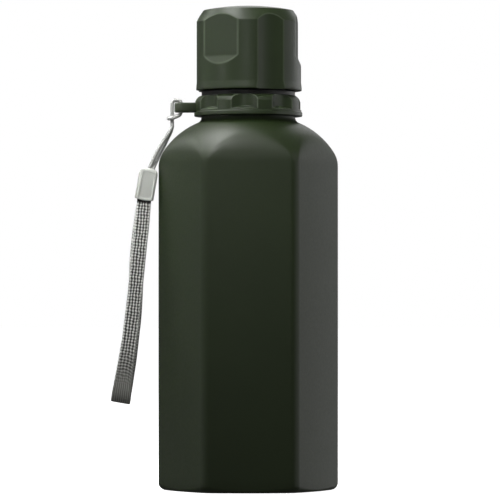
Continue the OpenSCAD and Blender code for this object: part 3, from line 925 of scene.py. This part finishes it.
def braided_cord():
    """Light grey braid, with painted shade in the gaps between its bundles."""
    base = srgb(212, 213, 210)
    s = Shader("braided_cord", base, 0.7, Sheen_Weight=0.3)
    u, v = [s.math("MULTIPLY", value, FULL_TURN * 2) for value in s.pattern()]
    one = s.math("ABSOLUTE", s.math("SINE", s.math("ADD", u, v)))
    two = s.math("ABSOLUTE", s.math("SINE", s.math("SUBTRACT", u, v)))
    weave = s.math("MULTIPLY", one, two)
    # Painted shade: the colour drops to half in the gaps between the bundles.
    s.colour(s.mix(s.map(weave, 0.0, 0.5, 0, 1), tinted(base, 0.5), base))
    s.bump(s.noise(5000), 0.4, 0.00005)
    return s.material


def woven_webbing(rows):
    """Light knots over dark gaps, which close up to dark ribs near the fold. Near the fold the cloth is
    darker, partly a denser weave and partly painted shade.
    """
    light, dark = srgb(250, 250, 246), srgb(66, 66, 61)
    s = Shader("woven_webbing", light, 0.8, Sheen_Weight=0.2)
    cell_u, cell_v = s.pattern()
    rows_from_fold = s.math("ABSOLUTE", s.math("SUBTRACT", cell_v, rows / 2))
    from_fold = s.math("MULTIPLY", rows_from_fold, WEB_ROW)
    from_end = s.math("SUBTRACT", rows * WEB_ROW / 2, from_fold)
    rib_zone = s.map(from_fold, RIB_ZONE, RIB_ZONE + RIB_FADE, 1, 0)
    arc_zone = s.map(from_fold, ARC_ZONE, ARC_ZONE + ARC_FADE, 1, 0)
    across = s.math("SUBTRACT", s.math("MULTIPLY", cell_u, 2 / WEB_COLUMNS), 1.0)
    right = s.math("MAXIMUM", across, 0.0)
    right_squared = s.math("MULTIPLY", right, right)
    bend = s.math("MULTIPLY", right_squared, s.math("MULTIPLY", arc_zone, WEB_ARC))
    jitter = s.patches(420, -0.16, 0.16)
    wave_u = s.math("COSINE", s.math("MULTIPLY", s.math("ADD", cell_u, jitter), FULL_TURN))
    turned_v = s.math("ADD", s.math("SUBTRACT", cell_v, bend), jitter)
    wave_v = s.math("COSINE", s.math("MULTIPLY", turned_v, FULL_TURN))
    wave_u = s.math("MULTIPLY", wave_u, s.map(arc_zone, 0, 1, 1, 0.35))
    both = s.math("ADD", s.math("MULTIPLY", wave_u, 1.2), s.math("MULTIPLY", wave_v, 0.8))
    knot = s.map(both, 0.7, -1.5, 0, 1)
    # Near the fold the light yarn and the ribs are darker: partly a denser weave, partly painted shade
    # of the fold.
    light_with_fold_shade = s.mix(arc_zone, light, srgb(205, 205, 200))
    mesh = s.mix(knot, dark, light_with_fold_shade)
    rib = s.math("COSINE", s.math("MULTIPLY", cell_u, FULL_TURN * WEB_RIBS))
    ribs = s.mix(s.map(rib, -1, 1, 0, 1), srgb(182, 182, 176), srgb(122, 122, 116))
    selvedge = s.map(s.math("ABSOLUTE", across), 0.86, 0.97, 0, 0.8)
    edged = s.mix(selvedge, mesh, light_with_fold_shade)
    cloth = s.mix(rib_zone, edged, ribs)
    # Painted shade: the webbing is almost black within about 7.4 mm of each end, inside and just below
    # the clasp's mouth, fading out by 8 mm.
    clasp_mouth_shade = s.map(from_end, 7.4, 8.0, 1, 0)
    s.colour(s.mix(clasp_mouth_shade, cloth, srgb(22, 22, 20)))
    s.bump(s.noise(4000), 0.4, 0.00005)
    return s.material


def dress(piece, material):
    """Give the piece that one material."""
    piece.data.materials.clear()
    piece.data.materials.append(material)


coat = powder_coat()
# The lighter colour given to the olive plastic is its painted edge highlight.
olive = moulded_plastic("olive_plastic", srgb(39, 50, 28), 0.39, edge_highlight=srgb(92, 102, 84))
dark = moulded_plastic("dark_plastic", srgb(14, 15, 12), 0.45)
steel = brushed_steel()
rubber = silicone()
dress(body, coat)
for piece in (ring, cap):
    dress(piece, olive)
# The eye gets a lighter copy of the olive plastic: painted light that brightens it.
dress(eye, moulded_plastic("olive_eye_plastic_painted_light", srgb(62, 70, 53), 0.39))
dress(spout, dark)
dress(clasp, moulded_plastic("clasp_plastic", srgb(208, 211, 204), 0.45))
dress(cord, braided_cord())
dress(webbing, woven_webbing(web_length / MM / WEB_ROW))

node_materials = {
    "inner_flask": steel, "base_plate": steel, "getter_cup": steel, "clasp_crimp": steel,
    "mouthpiece_gasket": rubber, "cap_gasket": rubber, "cap_liner": dark, "cap_insulation": foam(),
}
for node_name, material in node_materials.items():
    for material_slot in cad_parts[node_name].material_slots:
        material_slot.material = material


# --- Floor and light ---

FLOOR_WIDTH, FLOOR_GAP = 24.0, 0.0002
WORLD_GREY = 0.091
AIM = (0, 0, 0.13)


def make_floor():
    """A white floor that glows for the camera alone, and throws no light on the bottle."""
    half = FLOOR_WIDTH / 2
    corners = [(-half, -half, 0), (half, -half, 0), (half, half, 0), (-half, half, 0)]
    mesh = bpy.data.meshes.new("floor")
    mesh.from_pydata(corners, [], [(0, 1, 2, 3)])
    floor = bpy.data.objects.new("floor", mesh)
    floor.location.z = -FLOOR_GAP
    bpy.context.collection.objects.link(floor)
    material = bpy.data.materials.new("pale_floor")
    material.use_nodes = True
    surface = material.node_tree.nodes["Principled BSDF"]
    surface.inputs["Base Color"].default_value = (0.8, 0.8, 0.8, 1)
    surface.inputs["Roughness"].default_value = 0.9
    surface.inputs["Emission Color"].default_value = (1, 1, 1, 1)
    surface.inputs["Emission Strength"].default_value = 1.0
    floor.data.materials.append(material)
    floor.visible_glossy = False
    floor.visible_diffuse = False


def area_light(name, place, aim, size, power, spread=180):
    """A soft box at place, facing aim, of that width and height in metres and power in watts."""
    data = bpy.data.lights.new(name, "AREA")
    data.shape = "RECTANGLE"
    data.size, data.size_y = size
    data.energy = power
    data.spread = math.radians(spread)
    light = bpy.data.objects.new(name, data)
    light.location = place
    light.rotation_euler = (Vector(aim) - Vector(place)).to_track_quat("-Z", "Y").to_euler()
    light.visible_camera = False
    bpy.context.collection.objects.link(light)


def make_world():
    """White to the camera, dim grey to everything else."""
    world = bpy.data.worlds.new("studio")
    world.use_nodes = True
    bpy.context.scene.world = world
    tree = world.node_tree
    background = tree.nodes["Background"]
    background.inputs["Color"].default_value = (WORLD_GREY, WORLD_GREY, WORLD_GREY, 1)
    seen = tree.nodes.new("ShaderNodeBackground")
    seen.inputs["Color"].default_value = (1, 1, 1, 1)
    rays = tree.nodes.new("ShaderNodeLightPath")
    mix = tree.nodes.new("ShaderNodeMixShader")
    tree.links.new(rays.outputs["Is Camera Ray"], mix.inputs[0])
    tree.links.new(background.outputs[0], mix.inputs[1])
    tree.links.new(seen.outputs[0], mix.inputs[2])
    tree.links.new(mix.outputs[0], tree.nodes["World Output"].inputs["Surface"])


make_floor()
make_world()
area_light("top_mid", (-0.35, 0.05, 1.08), (-0.03, 0, 0.15), (0.6, 0.35), 8.41)
area_light("top_backleft", (-0.85, 0.45, 0.78), (-0.03, 0, 0.15), (0.35, 0.5), 3.1)
area_light("right_side", (1.10, -0.30, 0.35), AIM, (0.4, 1.0), 1.5)
area_light("right_mid", (1.12, 0.25, 0.35), AIM, (0.4, 1.0), 1.2)
area_light("right_strip", (0.93, 0.84, 0.15), AIM, (0.3, 1.1), 1.46)
area_light("right_back", (0.70, 1.05, 0.25), AIM, (0.3, 1.0), 0.972)
area_light("front_right", (0.55, -1.0, 1.1), AIM, (0.6, 0.6), 1.25)
area_light("upper_spot", (-0.27, -0.50, 0.72), (-0.02, 0, 0.20), (0.2, 0.2), 0.136, spread=24)
area_light("cap_key", (-0.91, -0.50, 0.30), (-0.01, 0, 0.20), (0.16, 0.16), 0.0042, spread=8)
area_light("cap_right", (0.85, 0.55, 0.30), (0.01, 0, 0.19), (0.07, 0.07), 0.0006, spread=10)
area_light("left_big", (-1.2, -0.2, 0.45), AIM, (1.5, 1.2), 2.0)
area_light("left_backbig", (-1.0, 0.65, 0.40), AIM, (1.0, 1.0), 0.335)
area_light("front_spot", (-0.12, -1.30, 0.42), (-0.01, 0, 0.20), (0.15, 0.15), 0.00996, spread=16)
area_light("back_fill", (0.25, 1.45, 1.15), AIM, (1.2, 1.0), 6)
bpy.context.scene.view_settings.view_transform = "Standard"
